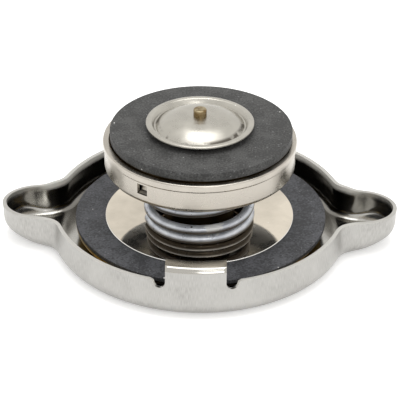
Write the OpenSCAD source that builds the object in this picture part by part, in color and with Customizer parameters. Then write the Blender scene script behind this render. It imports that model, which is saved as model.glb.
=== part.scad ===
// Radiator pressure cap, lying on its crown with the valve stack upwards.
// Units are millimetres. The crown face is at z = 0 and the stack axis is Z.
// The ears lie along X and the locking tabs along Y.

/* [Shell] */
// Length of the cap from ear tip to ear tip
ear_span = 82.5; // [78:0.5:90]
// Outer radius of the skirt just above the crown rounding
skirt_r = 31; // [30:0.25:32]
// How much narrower the skirt is at its rim
skirt_taper = 0.5; // [0.2:0.1:0.8]
// Height of the skirt rim above the crown face
skirt_h = 8; // [7.5:0.25:9]
// Thickness of the shell sheet
sheet_t = 0.8; // [0.7:0.05:0.9]
// Rounding where the crown turns into the skirt
crown_round = 3; // [2.5:0.25:3.5]
// Radius of an ear at its tip
ear_tip_r = 6; // [4.5:0.25:6.5]
// Radius of the hollow fillet where an ear meets the skirt
ear_fillet_r = 4.5; // [3:0.25:6]
// Height of the underside of an ear above the crown face
ear_lift = 0.2; // [0.1:0.1:1.8]
// Radius of the shallow recess for the rivet head in the crown
recess_r = 6; // [5:0.25:8]

/* [Locking tabs] */
// Width of a locking tab
tab_w = 12; // [9:0.5:14]
// Height of the top of a tab above the crown face
tab_h = 11.1; // [10.5:0.1:12]
// Radius that the inner edge of a tab reaches
tab_reach_r = 27; // [26.6:0.1:28]
// Outer bend radius where a tab folds inwards
tab_bend = 1.2; // [1:0.1:1.6]
// Width of the notch beside a tab
notch_w = 2.3; // [1.8:0.1:2.8]
// Depth of a notch below the rim
notch_depth = 1.4; // [1.2:0.1:2]

/* [Neck seal] */
// Outer radius of the rubber neck gasket
gasket_r = 26.2; // [25:0.1:27]
// Thickness of the neck gasket
gasket_t = 0.9; // [0.7:0.1:1.4]
// Height that the diaphragm is dished
dish_rise = 2; // [1.6:0.1:2.4]
// Radius of the polished retainer disc
disc_r = 19.7; // [18.5:0.1:20.5]

/* [Pressure valve] */
// Standing height of the main spring
spring_h = 11.6; // [11.2:0.1:13]
// Mean radius of the main spring
spring_r = 10.3; // [10.1:0.1:10.8]
// Wire diameter of the main spring
spring_wire = 2.05; // [1.8:0.05:2.1]
// Number of turns of the main spring, with its closed ends
spring_turns = 3.75; // [3.5:0.25:4]
// How far the loose main spring sits forward of the axis
spring_shift = 1.8; // [0:0.1:1.8]
// Height of the pressure plate
plate_h = 6.6; // [6.4:0.1:7.5]
// Radius of the rubber pressure seal
seal_r = 18.65; // [18:0.05:18.8]
// Thickness of the pressure seal
seal_t = 1.8; // [1.6:0.1:2]
// How far the pressure seal stands above the rim of the plate
seal_proud = 2; // [1.8:0.1:2.2]

/* [Vacuum valve] */
// Radius of the rim of the vacuum disc
vacuum_r = 11.05; // [10.5:0.05:12]
// Height of the dome of the vacuum disc above its valley
dome_h = 2.15; // [1.8:0.05:2.4]
// Radius of the brass stem
stem_r = 1.2; // [1:0.05:1.3]
// Length of the peened stem end above the dome
stem_proud = 1.6; // [1:0.1:2.2]
// Number of turns of the vacuum spring
vacuum_turns = 7; // [5:1:8]

/* [Clearances] */
// Play along the axis between pieces that move on each other
play = 0.3; // [0.2:0.05:0.35]
// Gap between the pressure seal and the rim of the plate around it
seal_gap = 0.5; // [0.3:0.05:0.8]
// Radial gap of a running fit
running_gap = 0.08; // [0.05:0.01:0.1]
// Gap under the closed vacuum disc
seat_gap = 0.15; // [0.1:0.05:0.2]

/* [Hidden] */
steel = [0.78, 0.77, 0.75];
bright_steel = [0.86, 0.84, 0.80];
zinc = [0.62, 0.65, 0.71];
rubber = [0.10, 0.10, 0.11];
brass = [0.72, 0.56, 0.27];
eps = 0.01;

ear_root_r = 9.5;
ear_root_x = 22;
ear_tip_x = ear_span / 2 - ear_tip_r;
ear_root_round = 2;
ear_tip_round = 4;
ear_tip_lean = 1;
ear_droop = 0.3;
fillet_bite = 0.15;
fillet_foot = 1.6;
fillet_lap = 4;
tab_foot_z = skirt_h - notch_depth + notch_w / 2;
tab_bend_z = tab_h - tab_bend;

rivet_r = 2;
rivet_head_r = 4;
rivet_end_r = 3.5;
rivet_end_h = 0.8;
rivet_edge = 0.3;
rivet_sink = 0.15;
rivet_gap = 0.2;
recess_top = 2 * sheet_t;
diaphragm_t = 0.4;
diaphragm_z = recess_top + play;
diaphragm_hub_r = 9;
dish_r = 13.5;
diaphragm_inset = 0.4;
diaphragm_r = gasket_r - diaphragm_inset;
bell_t = 0.6;
bell_r = 7.3;
bell_z = diaphragm_z + diaphragm_t;
gasket_z = bell_z + dish_rise;
gasket_in_r = dish_r - 0.5;
disc_t = 0.4;
disc_z = gasket_z + gasket_t;

spring_z = disc_z + disc_t;
spring_start = 192;
plate_z = spring_z + spring_h;
plate_t = 0.7;
plate_r = seal_r + seal_gap + plate_t;
plate_step = 0.25;
plate_wall_r = plate_r - plate_step;
plate_corner = 1.7;
plate_top = plate_z + plate_h;
crease_drop = 1.5;
crease_z = plate_top - crease_drop;
lip_z = plate_z + plate_t + play;
seal_top = plate_top + seal_proud;
seal_z = seal_top - seal_t;
seal_in_r = 8.2;
carrier_t = 0.6;
carrier_z = seal_z - carrier_t;
carrier_inset = 0.6;
carrier_r = seal_r - carrier_inset;
carrier_rim = 1.8;
vent_ring_r = 5.6;
vent_r = 1.1;
lance_top = carrier_z - carrier_rim;
lance_h = 2.25;
lance_w = 2.4;
lance_angles = [235.7, 355.7, 115.7];

disc_sheet = 0.5;
valley_top = seal_top + seat_gap + disc_sheet;
dome_top = valley_top + dome_h;
dome_r = 8.3;
valley_w = 0.5;
rim_slope_w = 0.9;
rim_rise = 0.8;
stem_top = dome_top + stem_proud;
stem_end_r = stem_r + 0.15;
keeper_t = 0.5;
keeper_r = 4.3;
vacuum_spring_h = 9.7;
vacuum_spring_r = 3.2;
vacuum_wire = 0.5;
keeper_z = carrier_z - vacuum_spring_h - keeper_t;

function arc(c, r, from, to, steps) =
    [for (i = [0 : steps]) c + r * [cos(from + (to - from) * i / steps),
                                    sin(from + (to - from) * i / steps)]];

// Height of the wire centre above the lower dead coil, for a spring with two closed ends.
// Each half rises over one dead turn, lies on it for a while, then climbs to the middle.
function half_rise(t, pitch, turns, rise) =
    lookup(t, [[0, 0], [0.3, 0.02], [0.5, 0.17 * pitch], [0.75, 0.59 * pitch], [1, 1.01 * pitch],
               [1.2, 1.1 * pitch], [1.35, 1.15 * pitch], [turns / 2, rise / 2]]);

function closed_rise(t, pitch, turns, rise) =
    t <= turns / 2
        ? half_rise(t, pitch, turns, rise)
        : rise - half_rise(turns - t, pitch, turns, rise);

// Half section of a pan with a rounded lower corner, whose circle has a number of sides
module pan_section(r_low, r_top, h, corner, sides) {
    square([r_low - corner, h]);
    translate([0, corner])
        polygon([[0, 0], [r_low, 0], [r_top, h - corner], [0, h - corner]]);
    intersection() {
        translate([r_low - corner, corner])
            circle(r = corner, $fn = sides);
        translate([r_low - corner, 0])
            square(corner);
    }
}

// Coil of round wire, starting at an angle and rising anticlockwise
module coil(r, wire_r, heights, start, steps, sides) {
    last = len(heights) - 1;
    points = [for (i = [0 : last], j = [0 : sides - 1])
        let (turn = start + 360 * i / steps,
             reach = r + wire_r * cos(360 * j / sides))
        [reach * cos(turn), reach * sin(turn), heights[i] + wire_r * sin(360 * j / sides)]];
    walls = [for (i = [0 : last - 1], j = [0 : sides - 1])
        [i * sides + j, i * sides + (j + 1) % sides,
         (i + 1) * sides + (j + 1) % sides, (i + 1) * sides + j]];
    first_cap = [for (j = [sides - 1 : -1 : 0]) j];
    last_cap = [for (j = [0 : sides - 1]) last * sides + j];
    polyhedron(points, concat([first_cap], walls, [last_cap]));
}

// One ear as a tapered trough, drawn solid; shrink gives its hollow inside
module ear_body(shrink, top) {
    floor_z = ear_lift + shrink;
    hull() {
        translate([ear_root_x, 0, floor_z])
            rotate_extrude($fn = 36)
                pan_section(ear_root_r - shrink, ear_root_r - shrink, top - floor_z,
                            ear_root_round - shrink, 20);
        translate([ear_tip_x, 0, floor_z + ear_droop])
            rotate_extrude($fn = 36)
                pan_section(ear_tip_r - ear_tip_lean - shrink, ear_tip_r - shrink,
                            top - floor_z - ear_droop, ear_tip_round - shrink, 20);
    }
}

// Hollow fillets between the flanks of one ear and the skirt; shrink gives their inside.
// The fillet axis lies one fillet radius outside both the flank and the skirt, less a small bite
// that lets the fillet cross them in a clean edge.
module ear_fillets(shrink, top) {
    flank = asin((ear_root_r - ear_tip_r) / (ear_tip_x - ear_root_x));
    off_flank = ear_tip_x * sin(flank) + ear_tip_r + ear_fillet_r - fillet_bite;
    off_skirt = skirt_r - skirt_taper + ear_fillet_r - fillet_bite;
    along = sqrt(off_skirt * off_skirt - off_flank * off_flank);
    axis = [off_flank * sin(flank) + along * cos(flank), off_flank * cos(flank) - along * sin(flank)];
    foot_z = ear_lift + fillet_foot + shrink;
    first = 180 - fillet_lap + atan2(axis[1], axis[0]);
    last = 270 + fillet_lap - flank;
    edge = arc(axis, ear_fillet_r + shrink, first, last, 8);
    for (side = [0, 1])
        mirror([0, side, 0])
            translate([0, 0, foot_z])
                linear_extrude(top - foot_z)
                    polygon(concat(edge, [[ear_root_x, ear_root_r - ear_root_round]]));
}

module skirt_pan(shrink, top) {
    slope = skirt_taper / (skirt_h - crown_round);
    translate([0, 0, shrink])
        rotate_extrude($fn = 180)
            pan_section(skirt_r - shrink, skirt_r - shrink - slope * (top - crown_round),
                        top - shrink, crown_round - shrink, 64);
}

// Outer radius of the tapered skirt at a height, carried on above the rim
function skirt_at(z) = skirt_r - skirt_taper * (z - crown_round) / (skirt_h - crown_round);

// Room for one tab and its two round-bottomed notches, on the -Y side
module tab_room() {
    reach = skirt_r - tab_reach_r;
    translate([-tab_w / 2, -skirt_r - eps, tab_foot_z])
        cube([tab_w, reach, skirt_h]);
    for (side = [-1, 1])
        translate([side * (tab_w + notch_w) / 2, -skirt_r - eps, tab_foot_z]) {
            rotate([-90, 0, 0])
                cylinder(r = notch_w / 2, h = reach, $fn = 32);
            translate([-notch_w / 2, 0, 0])
                cube([notch_w, reach, notch_w]);
        }
}

// Tab that carries the wall on above the rim and folds in under the neck flange
module tab() {
    foot_r = skirt_at(tab_foot_z);
    wall_r = skirt_at(tab_bend_z);
    bend_r = wall_r - tab_bend;
    intersection() {
        rotate_extrude($fn = 180)
            union() {
                polygon([[foot_r - sheet_t, tab_foot_z], [foot_r, tab_foot_z],
                         [wall_r, tab_bend_z], [wall_r - sheet_t, tab_bend_z]]);
                intersection() {
                    translate([bend_r, tab_bend_z])
                        difference() {
                            circle(r = tab_bend, $fn = 64);
                            circle(r = tab_bend - sheet_t, $fn = 64);
                        }
                    translate([bend_r, tab_bend_z])
                        square(tab_bend);
                }
                translate([tab_reach_r, tab_h - sheet_t])
                    square([bend_r - tab_reach_r, sheet_t]);
            }
        translate([-tab_w / 2, -skirt_r - eps, 0])
            cube([tab_w, skirt_r, tab_h + eps]);
    }
}

module shell() {
    color(steel)
        difference() {
            union() {
                difference() {
                    union() {
                        skirt_pan(0, skirt_h);
                        for (turn = [0, 180])
                            rotate(turn) {
                                ear_body(0, skirt_h);
                                ear_fillets(0, skirt_h);
                            }
                    }
                    skirt_pan(sheet_t, skirt_h + 1);
                    for (turn = [0, 180])
                        rotate(turn) {
                            ear_body(sheet_t, skirt_h + 1);
                            ear_fillets(sheet_t, skirt_h + 1);
                            tab_room();
                        }
                }
                for (turn = [0, 180])
                    rotate(turn)
                        tab();
                cylinder(r = recess_r + sheet_t, h = recess_top, $fn = 96);
            }
            translate([0, 0, -1])
                cylinder(r = recess_r, h = 1 + sheet_t, $fn = 96);
            translate([0, 0, -1])
                cylinder(r = rivet_r, h = recess_top + 2, $fn = 48);
        }
}

// Rivet with a flat head in the crown recess and a formed head inside the bell
module centre_rivet() {
    end_z = bell_z + bell_t + rivet_gap;
    end_top = end_z + rivet_end_h;
    color(steel)
        rotate_extrude($fn = 64)
            polygon([[0, rivet_sink], [rivet_head_r - rivet_edge, rivet_sink],
                     [rivet_head_r, rivet_sink + rivet_edge], [rivet_head_r, sheet_t],
                     [rivet_r, sheet_t], [rivet_r, end_z], [rivet_end_r, end_z],
                     [rivet_end_r, end_top - rivet_edge], [rivet_end_r - rivet_edge, end_top],
                     [0, end_top]]);
}

module diaphragm() {
    flat_z = gasket_z - diaphragm_t;
    color(brass)
        rotate_extrude($fn = 120)
            polygon([[rivet_r + running_gap, diaphragm_z], [diaphragm_hub_r, diaphragm_z],
                     [dish_r, flat_z], [diaphragm_r, flat_z], [diaphragm_r, gasket_z],
                     [dish_r - 0.1, gasket_z], [diaphragm_hub_r - 0.1, bell_z],
                     [rivet_r + running_gap, bell_z]]);
}

module neck_gasket() {
    edge = 0.15;
    color(rubber)
        rotate_extrude($fn = 120)
            polygon([[gasket_in_r, gasket_z], [gasket_r - edge, gasket_z], [gasket_r, gasket_z + edge],
                     [gasket_r, disc_z - edge], [gasket_r - edge, disc_z], [gasket_in_r, disc_z]]);
}

module retainer_disc() {
    edge = 0.12;
    color(bright_steel)
        rotate_extrude($fn = 120)
            polygon([[bell_r, disc_z], [disc_r, disc_z], [disc_r, spring_z - edge],
                     [disc_r - edge, spring_z], [bell_r, spring_z]]);
}

// Deep drawn tube, closed at the crown, with an outward lip that stops the plate
module bell_housing() {
    corner = 1.2;
    lip_r = bell_r + 1.6;
    color(steel)
        rotate_extrude($fn = 96)
            polygon(concat(
                [[rivet_r + running_gap, bell_z]],
                arc([bell_r - corner, bell_z + corner], corner, -90, 0, 6),
                [[bell_r, lip_z], [lip_r, lip_z], [lip_r, lip_z + bell_t]],
                arc([bell_r + 0.3, lip_z - 0.3], 0.9, 90, 180, 6),
                arc([bell_r - corner, bell_z + corner], corner - bell_t, 0, -90, 6),
                [[rivet_r + running_gap, bell_z + bell_t]]));
}

module main_spring() {
    steps = 40;
    wire_r = spring_wire / 2;
    rise = spring_h - spring_wire;
    count = floor(spring_turns * steps);
    heights = [for (i = [0 : count])
        spring_z + wire_r + closed_rise(i / steps, spring_wire, spring_turns, rise)];
    color(zinc)
        translate([0, -spring_shift, 0])
            coil(spring_r, wire_r, heights, spring_start, steps, 12);
}

// Cup with a rolled rim; three lances in its wall hold up the seal carrier
module pressure_plate() {
    half_t = plate_t / 2;
    hole_r = bell_r + play;
    in_r = plate_wall_r - plate_t;
    color(bright_steel)
        difference() {
            union() {
                rotate_extrude($fn = 144)
                    polygon(concat(
                        [[hole_r, plate_z]],
                        arc([plate_wall_r - plate_corner, plate_z + plate_corner], plate_corner, -90, 0, 8),
                        [[plate_wall_r, crease_z], [plate_r, crease_z + plate_step]],
                        arc([plate_r - half_t, plate_top - half_t], half_t, 0, 180, 8),
                        [[plate_r - plate_t, crease_z + plate_step], [in_r, crease_z]],
                        arc([plate_wall_r - plate_corner, plate_z + plate_corner],
                            plate_corner - plate_t, 0, -90, 6),
                        [[hole_r, plate_z + plate_t]]));
                for (turn = lance_angles)
                    rotate(turn)
                        lance_tongue(in_r);
            }
            for (turn = lance_angles)
                rotate(turn)
                    translate([in_r - eps, -lance_w / 2, lance_top - lance_h])
                        cube([plate_t + 1, lance_w, lance_h]);
        }
}

// Tongue of a lance, bent inwards from the lower edge of its window
module lance_tongue(in_r) {
    tip = in_r - carrier_r + carrier_t;
    thick = 0.5;
    low = lance_top - lance_h - 0.5;
    translate([0, lance_w / 2 - 0.1, 0])
        rotate([90, 0, 0])
            linear_extrude(lance_w - 0.2)
                polygon([[in_r + 0.2, low], [in_r - tip, lance_top - thick], [in_r - tip, lance_top],
                         [in_r - tip + 0.45, lance_top], [in_r - 0.1, lance_top - lance_h + 0.2],
                         [in_r + 0.2, lance_top - lance_h]]);
}

module seal_carrier() {
    hub_r = 2.6;
    hub_h = 3;
    hole_r = stem_r + running_gap;
    color(steel)
        difference() {
            rotate_extrude($fn = 120)
                polygon([[hole_r, carrier_z - hub_h], [hub_r, carrier_z - hub_h], [hub_r, carrier_z],
                         [carrier_r - carrier_t, carrier_z], [carrier_r - carrier_t, lance_top],
                         [carrier_r, lance_top], [carrier_r, seal_z], [hole_r, seal_z]]);
            for (turn = [0 : 60 : 300])
                rotate(turn)
                    translate([vent_ring_r, 0, carrier_z - 1])
                        cylinder(r = vent_r, h = carrier_t + 2, $fn = 24);
        }
}

module pressure_seal() {
    edge = 0.35;
    color(rubber)
        rotate_extrude($fn = 120)
            polygon([[seal_in_r, seal_z], [seal_r, seal_z], [seal_r, seal_top - edge],
                     [seal_r - edge * 0.3, seal_top - edge * 0.3], [seal_r - edge, seal_top],
                     [seal_in_r, seal_top]]);
}

// Domed disc: flat top with a pressed ring, shoulder, valley and upturned rim
module vacuum_disc() {
    top_r = dome_r - 1.9;
    ring = 0.1;
    ring_r = dome_r - 4.5;
    valley_r = dome_r + valley_w;
    slope_r = valley_r + rim_slope_w;
    rim_top = valley_top + rim_rise;
    low_top = dome_top - disc_sheet;
    valley_low = valley_top - disc_sheet;
    color(bright_steel)
        rotate_extrude($fn = 120)
            polygon([[stem_end_r, dome_top + ring], [ring_r - 3 * ring, dome_top + ring], [ring_r, dome_top],
                     [top_r, dome_top], [top_r + 0.5, dome_top - 0.04 * dome_h],
                     [top_r + 0.95, dome_top - 0.16 * dome_h],
                     [top_r + 1.3, dome_top - 0.35 * dome_h],
                     [top_r + 1.55, dome_top - 0.58 * dome_h],
                     [top_r + 1.75, dome_top - 0.79 * dome_h],
                     [top_r + 2, dome_top - 0.94 * dome_h], [dome_r + 0.35, valley_top],
                     [valley_r, valley_top], [slope_r, rim_top - ring], [vacuum_r, rim_top],
                     [vacuum_r, rim_top - disc_sheet], [slope_r + 0.2, rim_top - ring - disc_sheet],
                     [valley_r + 0.2, valley_low], [dome_r, valley_low],
                     [top_r + 1.5, valley_low + 0.1 * dome_h],
                     [top_r + 1.2, valley_low + 0.3 * dome_h],
                     [top_r + 0.9, valley_low + 0.6 * dome_h],
                     [top_r + 0.5, valley_low + 0.85 * dome_h],
                     [top_r, low_top - 0.02 * dome_h], [top_r - 0.4, low_top],
                     [stem_end_r, low_top]]);
}

// Rivet that carries the keeper below and is peened over the vacuum disc above
module vacuum_stem() {
    collar_r = 2.2;
    low_top = dome_top - disc_sheet;
    color(brass)
        rotate_extrude($fn = 48)
            polygon([[0, keeper_z - 0.8], [collar_r - 0.2, keeper_z - 0.8], [collar_r, keeper_z - 0.6],
                     [collar_r, keeper_z], [stem_r, keeper_z], [stem_r, low_top - 1.2],
                     [collar_r, low_top - 1.2], [collar_r, low_top], [stem_end_r, low_top],
                     [stem_end_r, stem_top - 0.25], [stem_end_r - 0.25, stem_top], [0, stem_top]]);
}

module vacuum_spring() {
    steps = 18;
    wire_r = vacuum_wire / 2;
    rise = vacuum_spring_h - vacuum_wire;
    count = floor(vacuum_turns * steps);
    heights = [for (i = [0 : count])
        carrier_z - vacuum_spring_h + wire_r
            + closed_rise(i / steps, vacuum_wire, vacuum_turns, rise)];
    color(zinc)
        coil(vacuum_spring_r, wire_r, heights, 0, steps, 8);
}

module spring_keeper() {
    rim_h = 0.9;
    color(steel)
        rotate_extrude($fn = 64)
            polygon([[stem_r, keeper_z], [keeper_r, keeper_z], [keeper_r, keeper_z + keeper_t + rim_h],
                     [keeper_r - keeper_t, keeper_z + keeper_t + rim_h],
                     [keeper_r - keeper_t, keeper_z + keeper_t], [stem_r, keeper_z + keeper_t]]);
}

shell();
centre_rivet();
diaphragm();
neck_gasket();
retainer_disc();
bell_housing();
main_spring();
pressure_plate();
seal_carrier();
pressure_seal();
vacuum_disc();
vacuum_stem();
vacuum_spring();
spring_keeper();
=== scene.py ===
# %% [markdown]
# # A radiator pressure cap, lying on its crown
# The cap is a stack of thin stamped and turned pieces, so nearly every shape here is one of three:
# a sheet that was drawn and trimmed, a ring turned about the Z axis, or a coil of wire. The packed
# CAD model gives the places and sizes. This script gives the pieces their rounded edges and finishes.

# %% Load the frame
import math

import bmesh
import bpy
import numpy as np
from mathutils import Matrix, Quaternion, Vector


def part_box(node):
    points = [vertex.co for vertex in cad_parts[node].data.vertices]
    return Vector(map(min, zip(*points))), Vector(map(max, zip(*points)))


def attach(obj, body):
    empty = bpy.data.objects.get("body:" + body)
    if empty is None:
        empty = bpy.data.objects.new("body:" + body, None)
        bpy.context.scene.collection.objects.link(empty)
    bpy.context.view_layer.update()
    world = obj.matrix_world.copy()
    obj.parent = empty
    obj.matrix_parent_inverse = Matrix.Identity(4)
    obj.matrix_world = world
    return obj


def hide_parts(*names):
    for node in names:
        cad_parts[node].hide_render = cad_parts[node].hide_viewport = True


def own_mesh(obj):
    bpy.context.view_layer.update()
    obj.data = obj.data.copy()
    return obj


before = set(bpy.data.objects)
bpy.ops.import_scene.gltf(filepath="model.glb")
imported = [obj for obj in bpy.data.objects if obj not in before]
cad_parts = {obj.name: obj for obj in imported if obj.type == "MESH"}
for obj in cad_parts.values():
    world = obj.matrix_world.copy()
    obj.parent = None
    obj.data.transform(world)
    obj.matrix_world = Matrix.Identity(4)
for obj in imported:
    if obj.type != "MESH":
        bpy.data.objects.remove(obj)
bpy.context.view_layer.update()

MM = 0.001
RIM_Z = 8.0 * MM

# %% [markdown]
# ## Camera
# The photograph was taken from the front, a little to the right, with a long lens. The distance, the
# height and the lens come from ellipses fitted to the round rims, which all share one axis. The lens
# is aimed at the middle of the retainer disc, and a small shift frames the cap as the photograph does.

# %% Camera
AIM = Vector((0, 0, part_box("retainer_disc")[1].z))
CAMERA_DISTANCE = 370.5 * MM
CAMERA_AZIMUTH = math.radians(1.2)
CAMERA_ELEVATION = math.radians(31.5)
CAMERA_ROLL = math.radians(0.4)
SENSOR_WIDTH = 36.0
LENS = 158.9
FRAME_SHIFT = (0.0015, 0.0308)
NEAR_CLIP = 10 * MM

camera = bpy.data.objects.new("camera", bpy.data.cameras.new("camera"))
bpy.context.scene.collection.objects.link(camera)
bpy.context.scene.camera = camera
back = Vector((math.sin(CAMERA_AZIMUTH) * math.cos(CAMERA_ELEVATION),
               -math.cos(CAMERA_AZIMUTH) * math.cos(CAMERA_ELEVATION),
               math.sin(CAMERA_ELEVATION)))
camera.location = AIM + back * CAMERA_DISTANCE
camera.rotation_mode = "QUATERNION"
camera.rotation_quaternion = (-back).to_track_quat("-Z", "Y") @ Quaternion((0, 0, 1), CAMERA_ROLL)
camera.data.sensor_width = SENSOR_WIDTH
camera.data.lens = LENS
camera.data.shift_x, camera.data.shift_y = FRAME_SHIFT
camera.data.clip_start = NEAR_CLIP
print("camera at", [round(v / MM, 1) for v in camera.location], "mm")

# %% [markdown]
# ## Floor, sky and lamps
# The cap lies on a white table, with a white wall behind it and a dimmer room in front of it. So the
# sky does not light it evenly: it goes from dim at the front horizon to white behind and above. One
# bright tent would be simpler, but the rubber and the coils would look flat in it. Light Path shows
# plain white to the camera and to what metal mirrors, and gives the floor a little glow there too.

# %% Node helpers
def math_node(tree, operation, first, second=None):
    """One Math node; each input is a socket or a number."""
    node = tree.nodes.new("ShaderNodeMath")
    node.operation = operation
    for index, value in enumerate((first, second)):
        if value is None:
            continue
        if isinstance(value, (int, float)):
            node.inputs[index].default_value = value
        else:
            tree.links.new(value, node.inputs[index])
    return node.outputs[0]


def ramp(tree, value, low, high, dark=0, light=1):
    """Map a value from low..high to the range dark..light."""
    node = tree.nodes.new("ShaderNodeMapRange")
    node.inputs["From Min"].default_value = low
    node.inputs["From Max"].default_value = high
    node.inputs["To Min"].default_value = dark
    node.inputs["To Max"].default_value = light
    tree.links.new(value, node.inputs["Value"])
    return node.outputs["Result"]


def axes(tree, vector):
    """The X, Y and Z of a vector as sockets."""
    split = tree.nodes.new("ShaderNodeSeparateXYZ")
    tree.links.new(vector, split.inputs[0])
    return split.outputs


def shown_to(tree):
    """1 for rays of the camera and for rays that metal or glass send on."""
    path = tree.nodes.new("ShaderNodeLightPath").outputs
    mirrored = math_node(tree, "MAXIMUM", path["Is Glossy Ray"], path["Is Transmission Ray"])
    return math_node(tree, "MAXIMUM", path["Is Camera Ray"], mirrored)


# %% Floor, sky and lamps
FLOOR_SIZE = 3.0
FLOOR_Z = -0.05 * MM
FLOOR_TONE = 0.86
FLOOR_GLOW = 0.35
SKY_COLOUR = (1.0, 0.99, 0.97)
SKY_LEAN = (0.12, 0.9, 1.0)
DIM_BELOW = -0.85
WHITE_ABOVE = 0.25
FRONT_DIM = 0.05


def make_floor():
    mesh = bpy.data.meshes.new("floor")
    half = FLOOR_SIZE / 2
    corners = [(x, y, FLOOR_Z) for x, y in ((-half, -half), (half, -half), (half, half), (-half, half))]
    mesh.from_pydata(corners, [], [(0, 1, 2, 3)])
    floor = bpy.data.objects.new("floor", mesh)
    bpy.context.scene.collection.objects.link(floor)
    paint = bpy.data.materials.new("white_floor")
    paint.use_nodes = True
    tree = paint.node_tree
    shader = tree.nodes["Principled BSDF"]
    shader.inputs["Base Color"].default_value = (FLOOR_TONE, FLOOR_TONE, FLOOR_TONE, 1)
    shader.inputs["Roughness"].default_value = 0.9
    shader.inputs["Specular IOR Level"].default_value = 0.0
    shader.inputs["Emission Color"].default_value = (1, 1, 1, 1)
    glow = math_node(tree, "MULTIPLY", shown_to(tree), FLOOR_GLOW)
    tree.links.new(glow, shader.inputs["Emission Strength"])
    mesh.materials.append(paint)


def make_sky():
    world = bpy.data.worlds.new("tent")
    bpy.context.scene.world = world
    world.use_nodes = True
    tree = world.node_tree
    background = tree.nodes["Background"]
    background.inputs["Color"].default_value = (*SKY_COLOUR, 1)
    place = tree.nodes.new("ShaderNodeTexCoord")
    lean = tree.nodes.new("ShaderNodeVectorMath")
    lean.operation = "DOT_PRODUCT"
    lean.inputs[1].default_value = SKY_LEAN
    tree.links.new(place.outputs["Generated"], lean.inputs[0])
    level = ramp(tree, lean.outputs["Value"], DIM_BELOW, WHITE_ABOVE, FRONT_DIM, 1)
    tree.links.new(math_node(tree, "MAXIMUM", shown_to(tree), level), background.inputs["Strength"])


def soft_lamp(name, place, size, energy):
    """A soft box that faces the cap."""
    light = bpy.data.lights.new(name, "AREA")
    light.shape = "RECTANGLE"
    light.size, light.size_y = size
    light.energy = energy
    lamp = bpy.data.objects.new(name, light)
    bpy.context.scene.collection.objects.link(lamp)
    lamp.location = place
    lamp.rotation_mode = "QUATERNION"
    lamp.rotation_quaternion = (AIM - Vector(place)).to_track_quat("-Z", "Y")


make_floor()
make_sky()
soft_lamp("top_lamp", (0.02, 0.06, 0.62), (0.42, 0.36), 1.3)
soft_lamp("front_lamp", (0.12, -0.48, 0.42), (0.22, 0.22), 0.4)
bpy.context.scene.view_settings.view_transform = "Standard"
print("stage: white floor, sky from", FRONT_DIM, "to 1 and two soft lamps")

# %% [markdown]
# ## Shared surface effects
# Brushing, mottling and dust turn up on many of the pieces, so each is a node group that is built
# once. A group only makes values that change over the surface. The shader itself stays in each
# material, where the export can read it.

# %% Group helper
FLOAT = "NodeSocketFloat"
VECTOR = "NodeSocketVector"


def new_group(name, inputs, outputs):
    """An empty shader group with named float or vector sockets."""
    group = bpy.data.node_groups.new(name, "ShaderNodeTree")
    for title, kind, value in inputs:
        socket = group.interface.new_socket(title, in_out="INPUT", socket_type=kind)
        if value is not None:
            socket.default_value = value
    for title, kind in outputs:
        group.interface.new_socket(title, in_out="OUTPUT", socket_type=kind)
    entry = group.nodes.new("NodeGroupInput")
    leave = group.nodes.new("NodeGroupOutput")
    return group, entry, leave


# %% Brushing group
def make_brushing():
    """Fine lines up a round wall: they change quickly round Z and slowly along it."""
    group, entry, leave = new_group(
        "brushing",
        [("Vector", VECTOR, None), ("Lines", FLOAT, 260.0), ("Run", FLOAT, 60.0)],
        [("Lines", FLOAT), ("Blotches", FLOAT)])
    at = axes(group, entry.outputs["Vector"])
    angle = math_node(group, "ARCTAN2", at["Y"], at["X"])
    around = math_node(group, "MULTIPLY", angle, entry.outputs["Lines"])
    along = math_node(group, "MULTIPLY", at["Z"], entry.outputs["Run"])
    join = group.nodes.new("ShaderNodeCombineXYZ")
    group.links.new(around, join.inputs["X"])
    group.links.new(along, join.inputs["Y"])
    lines = group.nodes.new("ShaderNodeTexNoise")
    lines.inputs["Scale"].default_value = 1.0
    lines.inputs["Detail"].default_value = 3.0
    group.links.new(join.outputs[0], lines.inputs["Vector"])
    group.links.new(lines.outputs["Fac"], leave.inputs["Lines"])
    blotches = group.nodes.new("ShaderNodeTexNoise")
    blotches.inputs["Scale"].default_value = 190.0
    blotches.inputs["Detail"].default_value = 4.0
    group.links.new(entry.outputs["Vector"], blotches.inputs["Vector"])
    group.links.new(blotches.outputs["Fac"], leave.inputs["Blotches"])
    return group


# %% Mottling and dust groups
def make_mottling():
    """Soft clouds of tone, with fine grain on top."""
    group, entry, leave = new_group(
        "mottling",
        [("Vector", VECTOR, None), ("Clouds", FLOAT, 160.0), ("Grain", FLOAT, 2600.0)],
        [("Clouds", FLOAT), ("Grain", FLOAT)])
    for title in ("Clouds", "Grain"):
        noise = group.nodes.new("ShaderNodeTexNoise")
        noise.inputs["Detail"].default_value = 4.0
        group.links.new(entry.outputs["Vector"], noise.inputs["Vector"])
        group.links.new(entry.outputs[title], noise.inputs["Scale"])
        group.links.new(noise.outputs["Fac"], leave.inputs[title])
    return group


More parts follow.
